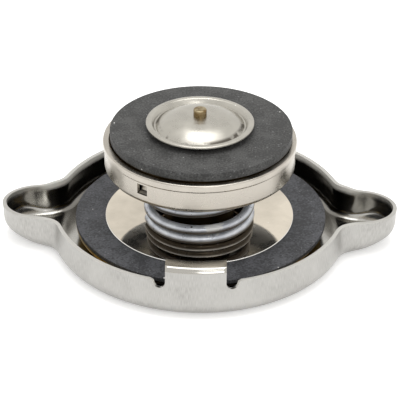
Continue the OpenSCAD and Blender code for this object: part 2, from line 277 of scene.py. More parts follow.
def make_dust():
    """Small round specks, scattered one to a cell, of which only a share is kept."""
    group, entry, leave = new_group(
        "dust",
        [("Vector", VECTOR, None), ("Scale", FLOAT, 900.0), ("Size", FLOAT, 0.16), ("Share", FLOAT, 0.2)],
        [("Mask", FLOAT)])
    cells = group.nodes.new("ShaderNodeTexVoronoi")
    group.links.new(entry.outputs["Vector"], cells.inputs["Vector"])
    group.links.new(entry.outputs["Scale"], cells.inputs["Scale"])
    split = group.nodes.new("ShaderNodeSeparateColor")
    group.links.new(cells.outputs["Color"], split.inputs[0])
    size = math_node(group, "MULTIPLY", split.outputs["Green"], entry.outputs["Size"])
    inside = math_node(group, "LESS_THAN", cells.outputs["Distance"], size)
    kept = math_node(group, "LESS_THAN", split.outputs["Red"], entry.outputs["Share"])
    mask = math_node(group, "MULTIPLY", inside, kept)
    group.links.new(mask, leave.inputs["Mask"])
    return group


EFFECTS = {"brushing": make_brushing(), "mottling": make_mottling(), "dust": make_dust()}
print("effects:", ", ".join(EFFECTS))

# %% [markdown]
# ## Finishes
# Bright steel, brushed steel, zinc plated wire, black rubber and brass cover the whole cap. Each finish
# starts from a few colours and lets the shared effects change its tone and gloss.

# %% Material helpers
def new_finish(name, roughness, metallic):
    """A material with a Principled shader and object coordinates."""
    material = bpy.data.materials.new(name)
    material.use_nodes = True
    shader = material.node_tree.nodes["Principled BSDF"]
    shader.inputs["Roughness"].default_value = roughness
    shader.inputs["Metallic"].default_value = metallic
    place = material.node_tree.nodes.new("ShaderNodeTexCoord")
    return material, material.node_tree, shader, place.outputs["Object"]


def effect(tree, name, vector, **values):
    """A shared effect placed in a material with its own values."""
    node = tree.nodes.new("ShaderNodeGroup")
    node.node_tree = EFFECTS[name]
    tree.links.new(vector, node.inputs["Vector"])
    for title, value in values.items():
        node.inputs[title].default_value = value
    return node


def mix_colour(tree, share, first, second):
    """Blend two colours by a share; each colour is a socket or an RGB triple."""
    node = tree.nodes.new("ShaderNodeMix")
    node.data_type = "RGBA"
    tree.links.new(share, node.inputs["Factor"])
    for socket, colour in ((node.inputs["A"], first), (node.inputs["B"], second)):
        if isinstance(colour, tuple):
            socket.default_value = (*colour, 1)
        else:
            tree.links.new(colour, socket)
    return node.outputs["Result"]


def upward(tree, place):
    """How far the surface faces up: the Z of its normal in the frame of the piece."""
    return axes(tree, place.node.outputs["Normal"])["Z"]


def from_axis(tree, place):
    """Distance from the Z axis of the cap."""
    flat = tree.nodes.new("ShaderNodeVectorMath")
    flat.operation = "MULTIPLY"
    flat.inputs[1].default_value = (1, 1, 0)
    tree.links.new(place, flat.inputs[0])
    length = tree.nodes.new("ShaderNodeVectorMath")
    length.operation = "LENGTH"
    tree.links.new(flat.outputs[0], length.inputs[0])
    return length.outputs["Value"]


def add_bump(tree, shader, height, strength, depth):
    """Fine relief from a height value; depth is its size in metres."""
    bump = tree.nodes.new("ShaderNodeBump")
    bump.inputs["Strength"].default_value = strength
    bump.inputs["Distance"].default_value = depth
    tree.links.new(height, bump.inputs["Height"])
    tree.links.new(bump.outputs["Normal"], shader.inputs["Normal"])


# %% [markdown]
# ### Steel
# The outside of the shell is brushed, and the other sheet pieces keep the bright skin that the press
# gave them. A picture of steel could be wrapped round the wall, but noise that runs fast round the
# axis and slowly up it shows no seam. Masks by height, by facing and by distance from the axis place
# the brushed rim and painted light: painted shade on the rear wall, on undersides and in the middle of
# the disc, painted dark reflections in the valley of the dome, a painted highlight on the rim of the
# disc, and a painted golden reflection low at the front.

# %% Steel finishes
def brushed_steel():
    """Outside of the shell: fine upright brushing, with a smoother fold on the tabs."""
    dark, pale, streak = (0.315, 0.307, 0.291), (0.442, 0.434, 0.414), (0.481, 0.473, 0.453)
    fold_tone = (0.46, 0.445, 0.41)
    material, tree, shader, place = new_finish("brushed_steel", 0.34, 1.0)
    brush = effect(tree, "brushing", place, Lines=380.0, Run=700.0)
    lines = brush.outputs["Lines"]
    tone = mix_colour(tree, ramp(tree, brush.outputs["Blotches"], 0.3, 0.7), dark, pale)
    colour = mix_colour(tree, ramp(tree, lines, 0.35, 0.65), tone, streak)
    above = ramp(tree, axes(tree, place)["Z"], RIM_Z + 0.5 * MM, RIM_Z + MM)
    fold = math_node(tree, "MULTIPLY", ramp(tree, upward(tree, place), 0.15, 0.3), above)
    tree.links.new(mix_colour(tree, fold, colour, fold_tone), shader.inputs["Base Color"])
    satin = ramp(tree, lines, 0.25, 0.75, 0.30, 0.44)
    keep = math_node(tree, "SUBTRACT", 1.0, math_node(tree, "MULTIPLY", fold, 0.7))
    tree.links.new(math_node(tree, "MULTIPLY", satin, keep), shader.inputs["Roughness"])
    add_bump(tree, shader, math_node(tree, "MULTIPLY", lines, keep), 0.12, 0.03 * MM)
    return material


def bright_steel(name, colour, roughness, under=1.0, edge=0.0, middle_shade_r=0.0, valley_reflection_r=0.0,
                 cloud=240.0, deep=0.86):
    """Drawn sheet as it leaves the press: bright and cloudy, with a few pale specks.

    under is the tone of painted shade on the underside, and edge says how strongly the rim is painted
    with a highlight. The middle shade radius paints shade over the middle, and the valley radius paints
    dark reflections into a ring round the valley of a dome. cloud and deep are the scale and the depth
    of the clouds.
    """
    under_shade_tone = tuple(under * v for v in (0.60, 0.63, 0.67))
    rim_highlight_tone, speck_tone = (0.95, 0.95, 0.93), (0.92, 0.92, 0.90)
    valley_reflection_tone, middle_shade_tone = (0.05, 0.04, 0.03), (0.05, 0.03, 0.012)
    material, tree, shader, place = new_finish(name, roughness, 1.0)
    mottle = effect(tree, "mottling", place, Clouds=cloud, Grain=3000.0)
    clouds = mottle.outputs["Clouds"]
    dust = effect(tree, "dust", place, Scale=700.0, Size=0.14, Share=0.10)
    facing = upward(tree, place)
    out = from_axis(tree, place)
    tone = mix_colour(tree, ramp(tree, clouds, 0.35, 0.65), tuple(deep * v for v in colour), colour)
    # Painted shade: faces that point down take the darker under tone.
    cloudy_with_facing_shade = mix_colour(tree, ramp(tree, facing, -0.97, -0.8, 1, 0), tone, under_shade_tone)
    # Painted highlight: the rounded rim, where the top turns down, is painted near white by edge.
    pale = mix_colour(tree, ramp(tree, facing, 0.98, 0.85, 0, edge), cloudy_with_facing_shade, rim_highlight_tone)
    specks = mix_colour(tree, dust.outputs["Mask"], pale, speck_tone)
    # Painted dark reflections: a patchy ring round the valley of a dome is painted near black.
    off = math_node(tree, "ABSOLUTE", math_node(tree, "SUBTRACT", out, valley_reflection_r))
    valley = math_node(tree, "MULTIPLY", ramp(tree, off, 0.15 * MM, 0.6 * MM, 1, 0),
                       ramp(tree, clouds, 0.5, 0.58, 0, 0.85))
    with_valley_reflection = mix_colour(tree, valley, specks, valley_reflection_tone)
    # Painted shade: the middle, out to the middle shade radius, is painted dark brown.
    middle = ramp(tree, out, middle_shade_r - 0.4 * MM, middle_shade_r + 0.2 * MM, 1, 0)
    tree.links.new(mix_colour(tree, middle, with_valley_reflection, middle_shade_tone), shader.inputs["Base Color"])
    gloss = ramp(tree, clouds, 0.3, 0.7, roughness * 0.75, roughness * 1.3)
    tree.links.new(gloss, shader.inputs["Roughness"])
    add_bump(tree, shader, mottle.outputs["Grain"], 0.06, 0.01 * MM)
    return material


def shell_lining():
    """Inside of the shell: bright, brushed over the rim, with painted shade at the back and a painted
    golden reflection low at the front.
    """
    dark, pale = (0.42, 0.41, 0.385), (0.52, 0.51, 0.48)
    rim_side, rim_top = (0.85, 0.83, 0.77), (0.50, 0.49, 0.46)
    back_shade_tone, gold_reflection_tone = (0.06, 0.052, 0.04), (0.62, 0.43, 0.12)
    material, tree, shader, place = new_finish("shell_inside", 0.17, 1.0)
    mottle = effect(tree, "mottling", place, Clouds=240.0, Grain=3000.0)
    clouds = mottle.outputs["Clouds"]
    at = axes(tree, place)
    out = from_axis(tree, place)
    tone = mix_colour(tree, ramp(tree, clouds, 0.35, 0.65), dark, pale)
    # Painted shade: the rear wall inside the rim is darkened towards a near black tone.
    unshaded = math_node(tree, "MAXIMUM", ramp(tree, at["Y"], MM, 7 * MM, 1, 0.4),
                         ramp(tree, out, 30.4 * MM, 32 * MM))
    shaded = mix_colour(tree, unshaded, back_shade_tone, tone)
    # Painted reflection: a golden glow of the brass is painted low on the floor at the front left and
    # right.
    front = math_node(tree, "MULTIPLY", ramp(tree, at["Y"], -11 * MM, -14 * MM),
                      ramp(tree, math_node(tree, "ABSOLUTE", at["X"]), 11 * MM, 15 * MM))
    gold_reflection = math_node(tree, "MULTIPLY", front, ramp(tree, at["Z"], 1.3 * MM, 2.2 * MM, 1, 0))
    with_gold_reflection = mix_colour(tree, gold_reflection, shaded, gold_reflection_tone)
    uneven = ramp(tree, clouds, 0.3, 0.7, -0.15 * MM, 0.15 * MM)
    height = math_node(tree, "ADD", at["Z"], uneven)
    band = math_node(tree, "MULTIPLY", ramp(tree, height, RIM_Z - 1.7 * MM, RIM_Z - 0.8 * MM),
                     ramp(tree, out, 32.5 * MM, 35 * MM, 1, 0.4))
    rim = mix_colour(tree, ramp(tree, upward(tree, place), 0.3, 0.9), rim_side, rim_top)
    tree.links.new(mix_colour(tree, band, with_gold_reflection, rim), shader.inputs["Base Color"])
    soft = math_node(tree, "MAXIMUM", band, gold_reflection)
    tree.links.new(ramp(tree, soft, 0, 1, 0.17, 0.5), shader.inputs["Roughness"])
    tree.links.new(ramp(tree, soft, 0, 1, 1.0, 0.2), shader.inputs["Metallic"])
    add_bump(tree, shader, mottle.outputs["Grain"], 0.06, 0.01 * MM)
    return material


# %% [markdown]
# ### Zinc, rubber and brass
# The wire has a bluish zinc skin with painted brown shade below, and it is rubbed pale at one place in
# front. The rubber is black sheet with pale lint. The brass is tarnished brown in patches, painted
# lighter where it faces up and darker on its sides as shade, and on the diaphragm a band is painted
# near black as shade. Each could be painted by hand, but the shared mottling and dust at a scale of
# their own give the same uneven skin all round.

# %% Zinc, rubber and brass
RUBBED_AT = (3.4 * MM, -12.4 * MM, 9.5 * MM)


def zinc_plate():
    """Bluish zinc on drawn wire: dark flecks, one pale rubbed place, and painted brown shade on the
    underside.
    """
    blue, pale_blue, bare = (0.64, 0.67, 0.73), (0.88, 0.91, 0.96), (1.0, 1.0, 0.98)
    brown, fleck_tone = (0.055, 0.047, 0.04), (0.10, 0.10, 0.11)
    material, tree, shader, place = new_finish("zinc_plate", 0.38, 0.4)
    mottle = effect(tree, "mottling", place, Clouds=300.0, Grain=1800.0)
    clouds, grain = mottle.outputs["Clouds"], mottle.outputs["Grain"]
    flecks = effect(tree, "dust", place, Scale=1500.0, Size=0.42, Share=0.12)
    tone = mix_colour(tree, ramp(tree, clouds, 0.4, 0.62), blue, pale_blue)
    rub = tree.nodes.new("ShaderNodeVectorMath")
    rub.operation = "DISTANCE"
    rub.inputs[1].default_value = RUBBED_AT
    tree.links.new(place, rub.inputs[0])
    ragged = math_node(tree, "ADD", rub.outputs["Value"],
                       ramp(tree, grain, 0.3, 0.7, -1.1 * MM, 1.1 * MM))
    rubbed = ramp(tree, ragged, 1.6 * MM, 1.9 * MM, 0.9, 0)
    pale = mix_colour(tree, rubbed, tone, bare)
    # Painted shade: faces that point down are painted brown.
    shade = mix_colour(tree, ramp(tree, upward(tree, place), -0.1, 0.42, 1, 0), pale, brown)
    colour = mix_colour(tree, flecks.outputs["Mask"], shade, fleck_tone)
    tree.links.new(colour, shader.inputs["Base Color"])
    tree.links.new(ramp(tree, rubbed, 0, 0.9, 0.4, 0.05), shader.inputs["Metallic"])
    tree.links.new(ramp(tree, clouds, 0.3, 0.7, 0.26, 0.46), shader.inputs["Roughness"])
    add_bump(tree, shader, grain, 0.15, 0.03 * MM)
    return material


def black_rubber(name, colour):
    """Moulded rubber sheet: matte, faintly grained, with pale lint and dust."""
    lint_tone, dust_tone = (0.30, 0.30, 0.31), (0.62, 0.62, 0.60)
    darker = tuple(0.72 * v for v in colour)
    paler = tuple(1.75 * v for v in colour)
    material, tree, shader, place = new_finish(name, 0.62, 0.0)
    shader.inputs["Specular IOR Level"].default_value = 0.35
    mottle = effect(tree, "mottling", place, Clouds=260.0, Grain=2600.0)
    clouds, grain = mottle.outputs["Clouds"], mottle.outputs["Grain"]
    dust = effect(tree, "dust", place, Scale=620.0, Size=0.16, Share=0.16)
    lint = effect(tree, "dust", place, Scale=1700.0, Size=0.34, Share=0.28)
    speckle = math_node(tree, "ADD", ramp(tree, grain, 0.36, 0.64, -0.6, 0.6),
                        ramp(tree, clouds, 0.3, 0.7, -0.2, 1.15))
    tone = mix_colour(tree, speckle, darker, paler)
    haze = mix_colour(tree, ramp(tree, lint.outputs["Mask"], 0, 1, 0, 0.30), tone, lint_tone)
    colour = mix_colour(tree, dust.outputs["Mask"], haze, dust_tone)
    tree.links.new(colour, shader.inputs["Base Color"])
    tree.links.new(ramp(tree, clouds, 0.3, 0.7, 0.52, 0.70), shader.inputs["Roughness"])
    add_bump(tree, shader, grain, 0.25, 0.05 * MM)
    return material


def dull_brass(name, bright, brown, shade_band=0.0):
    """Brass tarnished brown in patches, with dark specks. Where it faces up it is painted lighter, on its
    sides darker as shade, and where X is within the shade band of the middle it is painted near black
    as shade.
    """
    shade_band_tone, speck_tone = (0.012, 0.010, 0.008), (0.10, 0.07, 0.03)
    material, tree, shader, place = new_finish(name, 0.36, 1.0)
    mottle = effect(tree, "mottling", place, Clouds=900.0, Grain=3200.0)
    clouds = mottle.outputs["Clouds"]
    specks = effect(tree, "dust", place, Scale=2600.0, Size=0.5, Share=0.22)
    # Tarnish in patches, with painted light: faces that point up stay lighter, sides go browner as shade.
    cloudy_with_facing_shade = math_node(tree, "MULTIPLY", ramp(tree, clouds, 0.38, 0.62),
                     ramp(tree, upward(tree, place), 0.2, 0.9, 0.45, 1.0))
    tone = mix_colour(tree, cloudy_with_facing_shade, brown, bright)
    if shade_band:
        # Painted shade: a band across the middle of the piece is painted near black.
        side = math_node(tree, "ABSOLUTE", axes(tree, place)["X"])
        tone = mix_colour(tree, ramp(tree, side, shade_band, shade_band + 4 * MM), shade_band_tone, tone)
    colour = mix_colour(tree, specks.outputs["Mask"], tone, speck_tone)
    tree.links.new(colour, shader.inputs["Base Color"])
    tree.links.new(ramp(tree, clouds, 0.3, 0.7, 0.28, 0.46), shader.inputs["Roughness"])
    add_bump(tree, shader, mottle.outputs["Grain"], 0.3, 0.04 * MM)
    return material


# %% The finishes of this cap
FINISH = {
    "shell_outside": brushed_steel(),
    "shell_inside": shell_lining(),
    "mirror_disc": bright_steel("mirror_disc", (0.77, 0.70, 0.59), 0.05, edge=1.0, middle_shade_r=9.6 * MM,
                                cloud=90.0, deep=0.74),
    "satin_plate": bright_steel("satin_plate", (0.53, 0.495, 0.44), 0.28, 0.42),
    "dome_plate": bright_steel("dome_plate", (0.51, 0.49, 0.44), 0.29, 0.3, valley_reflection_r=8.7 * MM),
    "bell_tin": bright_steel("bell_tin", (0.09, 0.06, 0.025), 0.45, 0.1),
    "zinc": zinc_plate(),
    "gasket_rubber": black_rubber("gasket_rubber", (0.048, 0.049, 0.054)),
    "seal_rubber": black_rubber("seal_rubber", (0.045, 0.045, 0.044)),
    "brass": dull_brass("brass", (0.56, 0.40, 0.13), (0.34, 0.22, 0.06), shade_band=11 * MM),
    "stem_brass": dull_brass("stem_brass", (0.40, 0.34, 0.22), (0.20, 0.135, 0.06)),
}
print("finishes:", ", ".join(FINISH))

# %% [markdown]
# ## Mesh helpers
# A ring or a cup is an outline in r and z, spun about Z. Real pressed or moulded edges are never
# sharp, so each corner of an outline carries its own small radius. The mesh is smooth shaded, and
# only edges sharper than a given angle stay crisp.

# %% Mesh helpers
CRISP = math.radians(38)
MERGE = 0.0005 * MM


def finish_mesh(name, points, faces, materials):
    """An object from points and faces, smooth except at crisp edges, with its finishes."""
    mesh = bpy.data.meshes.new(name)
    mesh.from_pydata([tuple(p) for p in points], [], faces)
    piece = bpy.data.objects.new(name, mesh)
    bpy.context.scene.collection.objects.link(piece)
    for material in materials:
        mesh.materials.append(FINISH[material])
    smooth(piece)
    return piece


def smooth(piece):
    """Merge doubled points, smooth the faces and mark the crisp edges."""
    form = bmesh.new()
    form.from_mesh(piece.data)
    bmesh.ops.remove_doubles(form, verts=form.verts, dist=MERGE)
    bmesh.ops.dissolve_degenerate(form, edges=form.edges, dist=MERGE)
    for face in form.faces:
        face.smooth = True
    form.to_mesh(piece.data)
    form.free()
    piece.data.set_sharp_from_angle(angle=CRISP)


def settle(piece):
    """Turn the modifiers of a piece into plain mesh."""
    graph = bpy.context.evaluated_depsgraph_get()
    mesh = bpy.data.meshes.new_from_object(piece.evaluated_get(graph))
    piece.modifiers.clear()
    piece.data = mesh
    smooth(piece)


# %% Round pieces
def arc(centre, radius, start, end, steps):
    """Points on an arc in the r, z plane, angles in degrees."""
    turns = np.radians(np.linspace(start, end, steps + 1))
    return [(centre[0] + radius * math.cos(a), centre[1] + radius * math.sin(a)) for a in turns]


def rounded(corners, steps=4):
    """A closed outline from corners (r, z, radius), each corner turned into a small arc."""
    outline = []
    for index, (r, z, radius) in enumerate(corners):
        here = np.array((r, z))
        if radius == 0:
            outline.append((r, z))
            continue
        to_last = np.array(corners[index - 1][:2]) - here
        to_next = np.array(corners[(index + 1) % len(corners)][:2]) - here
        to_last = to_last / np.linalg.norm(to_last)
        to_next = to_next / np.linalg.norm(to_next)
        half = math.acos(np.clip(to_last @ to_next, -1, 1)) / 2
        middle = (to_last + to_next) / np.linalg.norm(to_last + to_next)
        centre = here + middle * radius / math.sin(half)
        first = here + to_last * radius / math.tan(half) - centre
        last = here + to_next * radius / math.tan(half) - centre
        start = math.degrees(math.atan2(first[1], first[0]))
        sweep = math.degrees(math.atan2(last[1], last[0])) - start
        sweep = (sweep + 180) % 360 - 180
        outline += arc(centre, radius, start, start + sweep, steps)
    return outline


def lathe(name, outline, material, columns=240):
    """Spin a closed outline of (r, z) about Z."""
    rows = len(outline)
    turns = np.arange(columns) * 2 * math.pi / columns
    points = [(r * math.cos(a), r * math.sin(a), z) for a in turns for r, z in outline]
    faces = []
    for column in range(columns):
        beside = (column + 1) % columns
        for row in range(rows):
            above = (row + 1) % rows
            faces.append((column * rows + row, beside * rows + row,
                          beside * rows + above, column * rows + above))
    return finish_mesh(name, points, faces, [material])


# %% Pieces and the frame
def mount(piece, body, slot, *nodes):
    """Ride on a body and stand for CAD nodes. The slot is not used."""
    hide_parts(*nodes)
    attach(piece, body)
    print(piece.name, "has", len(piece.data.polygons), "faces")


def push(piece, x, y):
    """Move a loose ring a little off centre."""
    for point in piece.data.vertices:
        point.co.x += x
        point.co.y += y


def reach(node):
    """Outer radius, lowest level and highest level of a round CAD node."""
    low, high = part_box(node)
    return (high.x - low.x) / 2, low.z, high.z


# %% [markdown]
# ## Shell
# The shell is one drawn sheet: a flat crown, a rounded corner, a skirt, two hollow ears, and two tabs
# that are folded in between notches. A sheet is best made as one face that gets its thickness from a
# Solidify modifier. The face is a grid: its columns follow the outline seen from above, and its rows
# run from the crown, round the corner and up the wall to the rim.

# %% Shell sizes
EAR_TIP_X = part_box("shell")[1].x
SKIRT_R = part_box("shell")[1].y
TAB_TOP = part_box("shell")[1].z
SHEET = 0.8 * MM
CROWN_ROUND = 3.0 * MM
ROOT_ROUND = 2.4 * MM
EAR_ROUND = 4.2 * MM
SKIRT_LEAN = 0.5 * MM
FLARE_TILT = math.radians(5)
FLARE_HEIGHT = 1.5 * MM
FLARE_EASE = 0.4
FLARE = math.tan(FLARE_TILT) * FLARE_HEIGHT * (1 - FLARE_EASE / 2)
EAR_LENGTH = 7.6 * MM
EAR_HALF = 6.65 * MM
EAR_FLANK = math.radians(12)
EAR_ROOT_R = 6.0 * MM
EAR_LIFT = 0.2 * MM
EAR_RISE = 0.8 * MM
EAR_DROOP = 0.35 * MM
TAB_HALF = 6.0 * MM
TAB_REACH = 27.0 * MM
TAB_FOLD_R = 1.2 * MM
NOTCH_W = 2.55 * MM
NOTCH_DEPTH = 1.6 * MM
RIVET_R = 2.0 * MM
RECESS_R = 6.0 * MM
RECESS_DEPTH = 0.8 * MM


def smoothstep(value, low, high):
    """An eased step from 0 at low to 1 at high."""
    share = np.clip((value - low) / (high - low), 0, 1)
    return share * share * (3 - 2 * share)


# %% Shell outline
TIP_COLUMNS = 17
FLANK_COLUMNS = 8
ROOT_COLUMNS = 15
SKIRT_COLUMNS = 44
NOTCH_COLUMNS = 13
TAB_COLUMNS = 11


def ear_quarter():
    """Ear tip, flank and root fillet as (x, y, normal x, normal y), up to the skirt."""
    tip_x = EAR_TIP_X - FLARE - EAR_LENGTH
    turn = math.pi / 2 - EAR_FLANK
    columns = []
    for a in np.linspace(0, turn, TIP_COLUMNS):
        reach_a = math.atan2(EAR_HALF * math.sin(a), EAR_LENGTH * math.cos(a))
        columns.append((tip_x + EAR_LENGTH * math.cos(reach_a), EAR_HALF * math.sin(reach_a),
                        math.cos(a), math.sin(a)))
    normal = np.array((math.cos(turn), math.sin(turn)))
    along = np.array((-math.sin(turn), math.cos(turn)))
    flank_start = np.array(columns[-1][:2])
    base = flank_start + EAR_ROOT_R * normal
    middle = base @ along
    run = -middle - math.sqrt(middle ** 2 - base @ base + (SKIRT_R + EAR_ROOT_R) ** 2)
    for share in np.linspace(0, 1, FLANK_COLUMNS)[1:]:
        point = flank_start + along * run * share
        columns.append((*point, *normal))
    fillet = base + along * run
    first = math.atan2(-normal[1], -normal[0])
    last = math.atan2(-fillet[1], -fillet[0])
    for a in np.linspace(first, last, ROOT_COLUMNS)[1:]:
        out = -np.array((math.cos(a), math.sin(a)))
        columns.append((*(fillet - EAR_ROOT_R * out), *out))
    return columns


def skirt_quarter(first_angle):
    """The skirt from the ear to the middle of the tab, with columns on the notch and the tab."""
    notch_far = TAB_HALF + NOTCH_W
    plain = np.linspace(first_angle, math.acos(notch_far / SKIRT_R), SKIRT_COLUMNS)[1:]
    across = (1 - np.cos(np.linspace(0, math.pi, NOTCH_COLUMNS)[1:])) / 2
    notch = np.arccos((notch_far - NOTCH_W * across) / SKIRT_R)
    tab = np.arccos(TAB_HALF * np.linspace(1, 0, TAB_COLUMNS)[1:] / SKIRT_R)
    return [(SKIRT_R * math.cos(a), SKIRT_R * math.sin(a), math.cos(a), math.sin(a))
            for a in np.concatenate((plain, notch, tab))]


def shell_outline():
    """The whole outline as an array of x, y and outward normal, anticlockwise from the right ear."""
    ear = ear_quarter()
    quarter = np.array(ear + skirt_quarter(math.atan2(ear[-1][1], ear[-1][0])))
    flipped = quarter[::-1][1:] * np.array((-1, 1, -1, 1))
    half = np.concatenate((quarter, flipped))
    return np.concatenate((half[:-1], -half[:-1]))


SHELL_OUTLINE = shell_outline()
print("shell outline:", len(SHELL_OUTLINE), "columns")

# %% [markdown]
# Over the ears the floor rises to a low plateau. It meets the rounded corner of the crown in a soft
# ridge, which a smooth minimum of the two heights gives. Each tab column carries the wall on above the
# rim: it folds in tightly, with fine stretch lines in the fold, and ends on an arc about the axis.

# %% Shell floor
RIDGE_SOFT = 0.35 * MM
PAN_STEEP = 10
CLIMB_END = 0.999
CORNER_AT_ROOT = (SKIRT_R - 3 * MM, SKIRT_R + 1.5 * MM)
CORNER_AT_TIP = (SKIRT_R + 2 * MM, EAR_TIP_X - 2 * MM)


def floor_height(x, y):
    """Height of the outside of the floor: the crown, its corner, and the plateau of an ear."""
    r = math.hypot(x, y)
    start = SKIRT_R - CROWN_ROUND
    climb = np.clip((r - start) / CROWN_ROUND, 0, CLIMB_END)
    pan = CROWN_ROUND * (1 - math.sqrt(1 - climb ** 2)) + max(0, r - SKIRT_R) * PAN_STEEP
    plateau = EAR_LIFT + EAR_RISE * smoothstep(abs(x), SKIRT_R, EAR_TIP_X)
    near = max(RIDGE_SOFT - abs(pan - plateau), 0) / RIDGE_SOFT
    return max(0.0, min(pan, plateau) - near ** 2 * RIDGE_SOFT / 4)


def corner_radius(x):
    """Radius of the corner between floor and wall: small at the root of an ear, large at its tip."""
    root = smoothstep(abs(x), *CORNER_AT_ROOT)
    tip = smoothstep(abs(x), *CORNER_AT_TIP)
    return CROWN_ROUND + (ROOT_ROUND - CROWN_ROUND) * root + (EAR_ROUND - ROOT_ROUND) * tip


# %% Tabs and notches
TAB_LEAN = math.atan(SKIRT_LEAN / (RIM_Z - CROWN_ROUND))
TAB_FLAT = math.radians(88)
STRETCH = [(0, 0), (0.12, 0.16), (0.2, 0.44), (0.32, 0.46),
           (0.42, 0.18), (0.52, 0.48), (0.75, 0.76), (1, 1)]
FOLD_STEPS = 60
FLAT_STEPS = 40
FLAT_STEP = 0.1 * MM


def tab_path():
    """The tab beyond the wall as developed length, inward run and rise."""
    bend = TAB_FLAT - TAB_LEAN
    share = (np.arange(FOLD_STEPS) + 0.5) / FOLD_STEPS
    stretch = np.interp(share, *zip(*STRETCH))
    tilts = np.concatenate((TAB_LEAN + bend * stretch, np.full(FLAT_STEPS, TAB_FLAT)))
    lengths = np.concatenate((np.full(FOLD_STEPS, TAB_FOLD_R * bend / FOLD_STEPS),
                              np.full(FLAT_STEPS, FLAT_STEP)))
    run = np.concatenate(([0], np.cumsum(lengths * np.sin(tilts))))
    rise = np.concatenate(([0], np.cumsum(lengths * np.cos(tilts))))
    return np.concatenate(([0], np.cumsum(lengths))), run, rise


def notch_drop(x):
    """How far the rim is cut down at a distance x from the middle of a tab."""
    r = NOTCH_W / 2
    off = abs(abs(x) - TAB_HALF - r)
    if off >= r:
        return NOTCH_DEPTH - r if abs(x) <= TAB_HALF + r else 0.0
    return NOTCH_DEPTH - r + math.sqrt(r * r - off * off)


TAB_PATH = tab_path()
TAB_FOLD_Z = TAB_TOP - TAB_PATH[2].max()
print("the tabs fold from", round(TAB_FOLD_Z / MM, 2), "mm up")

# %% Shell wall
DROOP_OVER = (SKIRT_R - MM, SKIRT_R + 3 * MM)
SKIRT_FADE = 1.5 * MM


def rim_level(x):
    """Level of the rim, which droops a little over the ears."""
    return RIM_Z - EAR_DROOP * smoothstep(abs(x), *DROOP_OVER)


def flare_out(level, rim, height):
    """How far the rim is flared at a level: a short cone with an eased start."""
    share = np.clip((level - rim + height) / height, 0, 1)
    early = min(share / FLARE_EASE, 1.0)
    eased = FLARE_EASE * (early ** 3 - early ** 4 / 2) + max(0.0, share - FLARE_EASE)
    return math.tan(FLARE_TILT) * height * eased


def wall_point(x, y, nx, ny, low, level):
    """A point of the wall at a developed level above the crown."""
    on_skirt = smoothstep(SKIRT_R + SKIRT_FADE - math.hypot(x, y), 0, SKIRT_FADE)
    rim = rim_level(x)
    lean = SKIRT_LEAN * on_skirt * (level - low) / (rim - low)
    inward = lean - flare_out(level, rim, min(FLARE_HEIGHT, rim - low))
    straight = np.array((x - nx * inward, y - ny * inward, level))
    if abs(x) >= TAB_HALF + NOTCH_W or abs(y) < abs(x):
        return straight
    share = smoothstep(TAB_HALF + NOTCH_W - abs(x), 0, NOTCH_W)
    beyond = max(0.0, level - TAB_FOLD_Z)
    lean = math.tan(TAB_LEAN) * (min(level, TAB_FOLD_Z) - CROWN_ROUND)
    run = np.interp(beyond, TAB_PATH[0], TAB_PATH[1])
    rise = np.interp(beyond, TAB_PATH[0], TAB_PATH[2])
    bent = np.array((x, y - math.copysign(lean + run, y), min(level, TAB_FOLD_Z) + rise))
    return straight * (1 - share) + bent * share


# %% Shell grid
RINGS = [RIVET_R, 4.2 * MM, RECESS_R - 0.25 * MM, RECESS_R, RECESS_R + 0.25 * MM,
         9 * MM, 14 * MM, 19 * MM, 23 * MM]
RECESS_EASE = 0.3 * MM
FLOOR_START = 26.3 * MM
FLOOR_ROWS = 20
CORNER_ROWS = 9
WALL_ROWS = 10
LEG_ROWS = 6
TAB_ROWS = 40
SLACK = 0.001 * MM


def shell_column(x, y, nx, ny):
    """One column of the grid, from the rivet hole out to the rim."""
    corner = corner_radius(x)
    inner = np.array((x - nx * corner, y - ny * corner))
    inner_r = np.linalg.norm(inner)
    way = inner / inner_r
    column = []
    for ring in RINGS:
        sunk = RECESS_DEPTH * smoothstep(RECESS_R + RECESS_EASE - ring, 0, 2 * RECESS_EASE)
        column.append((*(way * ring), sunk))
    for r in np.linspace(FLOOR_START, inner_r, FLOOR_ROWS):
        column.append((*(way * r), floor_height(*(way * r))))
    floor = floor_height(*inner)
    for a in np.linspace(0, math.pi / 2, CORNER_ROWS)[1:]:
        out = corner * (1 - math.sin(a))
        column.append((x - nx * out, y - ny * out, floor + corner * (1 - math.cos(a))))
    rim = rim_level(x)
    if abs(y) > abs(x):
        rim -= notch_drop(x)
    for level in np.linspace(floor + corner, rim, WALL_ROWS)[1:]:
        column.append(tuple(wall_point(x, y, nx, ny, floor + corner, level)))
    return column, rim


def tab_column(x, y, start):
    """The rest of a tab, past the rows of the wall: its upright leg and its fold."""
    lean = math.tan(TAB_LEAN) * (TAB_FOLD_Z - CROWN_ROUND)
    run_end = abs(y) - math.sqrt(TAB_REACH ** 2 - x ** 2) - lean
    end = TAB_FOLD_Z + np.interp(run_end, TAB_PATH[1], TAB_PATH[0])
    levels = np.concatenate((np.linspace(start, TAB_FOLD_Z, LEG_ROWS + 1)[1:],
                             np.linspace(TAB_FOLD_Z, end, TAB_ROWS - LEG_ROWS + 1)[1:]))
    return [tuple(wall_point(x, y, 0, math.copysign(1, y), CROWN_ROUND, level)) for level in levels]


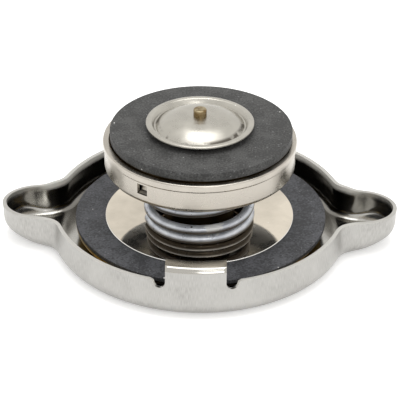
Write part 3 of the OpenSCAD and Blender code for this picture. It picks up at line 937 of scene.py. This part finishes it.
def shell_grid():
    """Points and faces of the whole sheet: the columns of the outline, then the tabs on top of them."""
    points, faces, tops = [], [], []
    built = [shell_column(*column) for column in SHELL_OUTLINE]
    rows = len(built[0][0])
    for column, top in built:
        points += column
        tops.append(top)
    count = len(SHELL_OUTLINE)
    for j in range(count):
        beside = (j + 1) % count
        for i in range(rows - 1):
            faces.append((j * rows + i, beside * rows + i, beside * rows + i + 1, j * rows + i + 1))
    tab = [j for j, (x, y) in enumerate(SHELL_OUTLINE[:, :2])
           if abs(x) <= TAB_HALF + SLACK and abs(y) > abs(x)]
    extra = {}
    for j in tab:
        extra[j] = len(points)
        points += tab_column(*SHELL_OUTLINE[j][:2], tops[j])
    for j in tab:
        beside = (j + 1) % count
        if beside not in extra:
            continue
        left = [j * rows + rows - 1] + list(range(extra[j], extra[j] + TAB_ROWS))
        right = [beside * rows + rows - 1] + list(range(extra[beside], extra[beside] + TAB_ROWS))
        for i in range(TAB_ROWS):
            faces.append((left[i], right[i], right[i + 1], left[i + 1]))
    return points, faces


# %% Shell sheet
EDGE_ROUND = 0.13 * MM
EDGE_ANGLE = math.radians(50)


def make_shell():
    shell = finish_mesh("shell_sheet", *shell_grid(), ["shell_outside", "shell_inside"])
    sheet = shell.modifiers.new("sheet", "SOLIDIFY")
    sheet.thickness = SHEET
    sheet.offset = -1
    sheet.use_even_offset = True
    sheet.material_offset = 1
    sheet.material_offset_rim = 1
    edge = shell.modifiers.new("edge", "BEVEL")
    edge.width = EDGE_ROUND
    edge.segments = 2
    edge.limit_method = "ANGLE"
    edge.angle_limit = EDGE_ANGLE
    settle(shell)
    mount(shell, "shell", "shell_steel", "shell")


make_shell()

# %% [markdown]
# ## Neck gasket and retainer disc
# The gasket is a ring cut from rubber sheet. It lies loose, so it is a little off centre. The disc on
# top of it is a flat polished washer that mirrors the spring and the cup, so it has to be truly flat.

# %% Gasket and disc
GASKET_HOLE = 13 * MM
GASKET_EDGE = 0.12 * MM
GASKET_SHIFT = (0.25 * MM, 0.6 * MM)
DISC_HOLE = 7.4 * MM
DISC_EDGE = 0.16 * MM


def flat_ring(name, node, hole, edges, material, steps=4):
    """A flat ring of the size of a CAD node; edges round its corners, from low inside to high inside."""
    r, low, high = reach(node)
    corners = [(hole, low), (r, low), (r, high), (hole, high)]
    return lathe(name, rounded([(*corner, edge) for corner, edge in zip(corners, edges)], steps), material)


def make_gasket():
    gasket = flat_ring("gasket_ring", "neck_gasket", GASKET_HOLE, [GASKET_EDGE] * 4, "gasket_rubber")
    push(gasket, *GASKET_SHIFT)
    mount(gasket, "bell", "rubber", "neck_gasket")


def make_disc():
    edges = [0, DISC_EDGE, DISC_EDGE, 0]
    disc = flat_ring("mirror_washer", "retainer_disc", DISC_HOLE, edges, "mirror_disc")
    mount(disc, "bell", "bright_steel", "retainer_disc")


make_gasket()
make_disc()

# %% [markdown]
# ## Springs
# Both springs are round wire on a helix whose end turns lie flat on each other. The rise along the
# wire is given at a few turns and smoothed. A spring shortens when its valve moves; here each is built
# at the height of its CAD node.

# %% Spring wire
WIRE_SIDES = 20
SOFTEN = np.hanning(9) / np.hanning(9).sum()


def closed_rise(turn, wire, turns, rise):
    """Height of the wire above its first turn, for a spring with closed ends."""
    early = np.minimum(turn, turns - turn)
    marks = [0, 0.3, 0.5, 0.75, 1, 1.2, 1.35, turns / 2]
    heights = [0, 0.02 * MM, 0.17 * wire, 0.59 * wire, 1.01 * wire, 1.1 * wire, 1.15 * wire, rise / 2]
    climb = np.interp(early, marks, heights)
    return np.where(turn <= turns / 2, climb, rise - climb)


def wire_coil(name, radius, wire, low, high, turns, start, centre_y, steps, material):
    """Round wire swept along a coil between two levels; start is in degrees, steps is per turn."""
    sides = WIRE_SIDES
    turn = np.linspace(0, turns, int(turns * steps) + 1)
    level = closed_rise(turn, wire, turns, high - low - wire)
    level = np.pad(level, len(SOFTEN) // 2, mode="edge")
    level = np.convolve(level, SOFTEN, mode="valid") + low + wire / 2
    points = []
    for t, z in zip(turn, level):
        a = math.radians(start) + 2 * math.pi * t
        for s in np.arange(sides) * 2 * math.pi / sides:
            r = radius + wire / 2 * math.cos(s)
            points.append((r * math.cos(a), centre_y + r * math.sin(a), z + wire / 2 * math.sin(s)))
    faces = []
    last = len(turn) - 1
    for i in range(last):
        for s in range(sides):
            beside = (s + 1) % sides
            faces.append((i * sides + s, (i + 1) * sides + s,
                          (i + 1) * sides + beside, i * sides + beside))
    faces.append(tuple(range(sides)))
    faces.append(tuple(last * sides + s for s in reversed(range(sides))))
    return finish_mesh(name, points, faces, [material])


# %% Both springs
MAIN_COIL = {"radius": 10.5 * MM, "wire": 2.05 * MM, "turns": 3.75, "start": 192, "steps": 64}
VACUUM_COIL = {"radius": 3.2 * MM, "wire": 0.5 * MM, "turns": 7, "start": 0, "steps": 32}


def make_main_spring():
    low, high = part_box("main_spring")
    shift = (low.y + high.y) / 2
    spring = wire_coil("spring_wire", low=low.z, high=high.z, centre_y=shift, material="zinc", **MAIN_COIL)
    mount(spring, "bell", "zinc_wire", "main_spring")
    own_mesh(spring)


def make_vacuum_spring():
    low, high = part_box("vacuum_spring")
    spring = wire_coil("vacuum_wire", low=low.z, high=high.z, centre_y=0, material="zinc", **VACUUM_COIL)
    mount(spring, "pressure_valve", "zinc_wire", "vacuum_spring")
    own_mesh(spring)


make_main_spring()
make_vacuum_spring()

# %% [markdown]
# ## Pressure plate and its seal
# The plate is a drawn cup with a crease under its rolled rim. Three lances are cut in its wall and
# bent in to carry the seal. The windows are cut with a Boolean, the tongues are small bent strips. The
# seal is a rubber ring that lies in the cup, slightly off centre.

# %% Lances
LANCE_ANGLES = [235.7, 355.7, 115.7]
LANCE_W = 2.4 * MM
LANCE_H = 2.25 * MM
LANCE_REACH = 1.45 * MM


def block(name, corners):
    """A closed six-sided block from its eight corners, bottom four first."""
    faces = [(3, 2, 1, 0), (4, 5, 6, 7), (0, 1, 5, 4), (1, 2, 6, 5), (2, 3, 7, 6), (3, 0, 4, 7)]
    return finish_mesh(name, corners, faces, ["satin_plate"])


def wall_axes(angle):
    """Directions out of the wall and along it, at an angle in degrees."""
    turn = math.radians(angle)
    return np.array((math.cos(turn), math.sin(turn), 0)), np.array((-math.sin(turn), math.cos(turn), 0))


def lance_box(angle, r_low, r_high, half, z_low, z_high):
    """Corners of a block that stands in the wall at an angle."""
    out, side = wall_axes(angle)
    flat = [(r_low, -half), (r_high, -half), (r_high, half), (r_low, half)]
    return [tuple(out * r + side * s + np.array((0, 0, z))) for z in (z_low, z_high) for r, s in flat]


def tongue(angle, inside, top):
    """Points and faces of one lance tongue, bent in from the lower edge of its window."""
    low = top - LANCE_H
    tip = inside - LANCE_REACH
    side_on = [(inside + 0.25 * MM, low - 0.4 * MM), (inside - 0.8 * MM, low + 0.1 * MM),
               (tip, top - 0.9 * MM), (tip, top - 0.4 * MM), (tip + 0.45 * MM, top - 0.6 * MM),
               (inside - 0.5 * MM, low + 0.45 * MM), (inside + 0.25 * MM, low)]
    out, side = wall_axes(angle)
    half = LANCE_W / 2 - 0.1 * MM
    points = [tuple(out * r + side * s + np.array((0, 0, z))) for s in (-half, half) for r, z in side_on]
    count = len(side_on)
    faces = [(i, (i + 1) % count, (i + 1) % count + count, i + count) for i in range(count)]
    return points, faces + [tuple(reversed(range(count))), tuple(range(count, 2 * count))]


def add_shape(piece, points, faces):
    """Add a second closed shape to the mesh of a piece."""
    form = bmesh.new()
    form.from_mesh(piece.data)
    corners = [form.verts.new(p) for p in points]
    fresh = [form.faces.new([corners[i] for i in face]) for face in faces]
    bmesh.ops.recalc_face_normals(form, faces=fresh)
    form.to_mesh(piece.data)
    form.free()


# %% Pressure plate
PLATE_T = 0.7 * MM
PLATE_HOLE = 7.6 * MM
WALL_INSET = 0.25 * MM
CREASE_DROP = 1.85 * MM
CREASE_STEP = 0.24 * MM
RIM_DROP = 0.2 * MM
ROLL_W = 1.55 * MM
ROLL_T = 0.6 * MM
TRIM = 0.1 * MM
WINDOW_DROP = 2.4 * MM
PLATE_COLUMNS = 288


def make_plate():
    r, low, high = reach("pressure_plate")
    wall = r - WALL_INSET
    inside = wall - PLATE_T
    crease = high - CREASE_DROP
    top = high - RIM_DROP
    cup = rounded([
        (PLATE_HOLE, low, TRIM), (wall, low, 1.1 * MM), (wall, crease, 0.12 * MM),
        (r, crease + CREASE_STEP, 0.3 * MM), (r, top, 0.34 * MM), (r - ROLL_W, top, 0.45 * MM),
        (r - ROLL_W, top - ROLL_T, TRIM), (inside, top - ROLL_T, TRIM),
        (inside, low + PLATE_T, 0.4 * MM), (PLATE_HOLE, low + PLATE_T, TRIM)], 8)
    plate = lathe("pressure_cup", cup, "satin_plate", PLATE_COLUMNS)
    window_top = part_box("seal_carrier")[1].z - WINDOW_DROP
    for angle in LANCE_ANGLES:
        cutter = block("cutter", lance_box(angle, inside - 0.05 * MM, r + MM, LANCE_W / 2,
                                           window_top - LANCE_H, window_top))
        cut = plate.modifiers.new("window", "BOOLEAN")
        cut.object = cutter
        cut.solver = "EXACT"
        settle(plate)
        bpy.data.objects.remove(cutter)
    for angle in LANCE_ANGLES:
        add_shape(plate, *tongue(angle, inside, window_top))
    mount(plate, "pressure_valve", "plate_steel", "pressure_plate")


make_plate()
print("lances at", LANCE_ANGLES)

# %% Pressure seal
SEAL_HOLE = 8.2 * MM
SEAL_EDGES = [0.1 * MM, 0.15 * MM, 0.2 * MM, 0.2 * MM]
SEAL_SHIFT = 0.25 * MM


def make_seal():
    seal = flat_ring("seal_ring", "pressure_seal", SEAL_HOLE, SEAL_EDGES, "seal_rubber", 6)
    push(seal, SEAL_SHIFT, 0)
    mount(seal, "pressure_valve", "rubber", "pressure_seal")


make_seal()

# %% [markdown]
# ## Vacuum disc and stem
# The small domed disc is held shut by its own light spring below. Its stem is a brass rivet whose end
# was peened over on top, so its edge is round. Both are round about the axis, so a spun outline gives
# them with the fewest points. The dome falls with a power of the distance from its flat middle.

# %% Vacuum disc
DOME_SHEET = 0.5 * MM
DOME_FLAT_R = 3.0 * MM
DOME_FOOT_R = 9.05 * MM
DOME_CURVE = 2.3
STAKE_RISE = 0.1 * MM
STEM_HOLE = 1.3 * MM
RIM_RISE = 0.95 * MM


def make_vacuum_disc():
    r, low, high = reach("vacuum_disc")
    top = high - STAKE_RISE
    valley = low + DOME_SHEET
    rim = valley + RIM_RISE
    shares = np.linspace(0, 1, 25)
    dome_r = DOME_FLAT_R + (DOME_FOOT_R - DOME_FLAT_R) * shares
    fall = (top - valley) * shares ** DOME_CURVE
    upper = [(STEM_HOLE, high), (2.4 * MM, high)]
    upper += [(r_at, top - down) for r_at, down in zip(dome_r, fall)]
    upper += [(9.2 * MM, valley), (9.35 * MM, valley + 0.04 * MM), (9.85 * MM, rim - 0.14 * MM),
              (10.02 * MM, rim - 0.03 * MM), (10.4 * MM, rim), (r - 0.15 * MM, rim - 0.05 * MM),
              (r - 0.04 * MM, rim - 0.12 * MM), (r, rim - 0.2 * MM), (r, rim - 0.45 * MM)]
    lower = [(r - 0.1 * MM, rim - 0.5 * MM), (10.1 * MM, rim - 0.52 * MM),
             (9.5 * MM, low + 0.05 * MM), (9.3 * MM, low)]
    lower += [(r_at - 0.1 * MM, top - DOME_SHEET - down) for r_at, down in zip(dome_r[::-1], fall[::-1])]
    lower += [(STEM_HOLE, top - DOME_SHEET)]
    dome = lathe("vacuum_dome", (upper + lower)[::-1], "dome_plate")
    mount(dome, "vacuum_valve", "plate_steel", "vacuum_disc")


# %% Stem
STEM_END_R = 1.35 * MM
STEM_R = 1.2 * MM
COLLAR_R = 2.2 * MM
COLLAR_H = 1.2 * MM
COLLAR_DROP = 0.6 * MM
STEM_COLUMNS = 48


def make_stem():
    low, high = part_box("vacuum_stem")
    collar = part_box("vacuum_disc")[1].z - COLLAR_DROP
    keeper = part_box("spring_keeper")[0].z
    side_on = [(0, low.z, 0), (COLLAR_R, low.z, 0.2 * MM), (COLLAR_R, keeper, 0), (STEM_R, keeper, 0),
               (STEM_R, collar - COLLAR_H, 0), (COLLAR_R, collar - COLLAR_H, 0), (COLLAR_R, collar, 0),
               (STEM_END_R, collar, 0), (STEM_END_R, high.z, 0.28 * MM), (0, high.z, 0)]
    stem = lathe("brass_stem", rounded(side_on), "stem_brass", STEM_COLUMNS)
    mount(stem, "vacuum_valve", "brass", "vacuum_stem")


make_vacuum_disc()
make_stem()

# %% [markdown]
# ## Pieces that keep their CAD shape
# The rivet, the diaphragm, the bell, the seal carrier and the spring keeper are mostly hidden and are
# right as they are, so they only get a finish.

# %% CAD pieces
CAD_FINISH = {
    "centre_rivet": "shell_inside",
    "diaphragm": "brass",
    "bell_housing": "bell_tin",
    "seal_carrier": "bell_tin",
    "spring_keeper": "satin_plate",
}
for node, finish in CAD_FINISH.items():
    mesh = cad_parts[node].data
    mesh.materials.clear()
    mesh.materials.append(FINISH[finish])
print("CAD pieces with a finish:", ", ".join(CAD_FINISH))
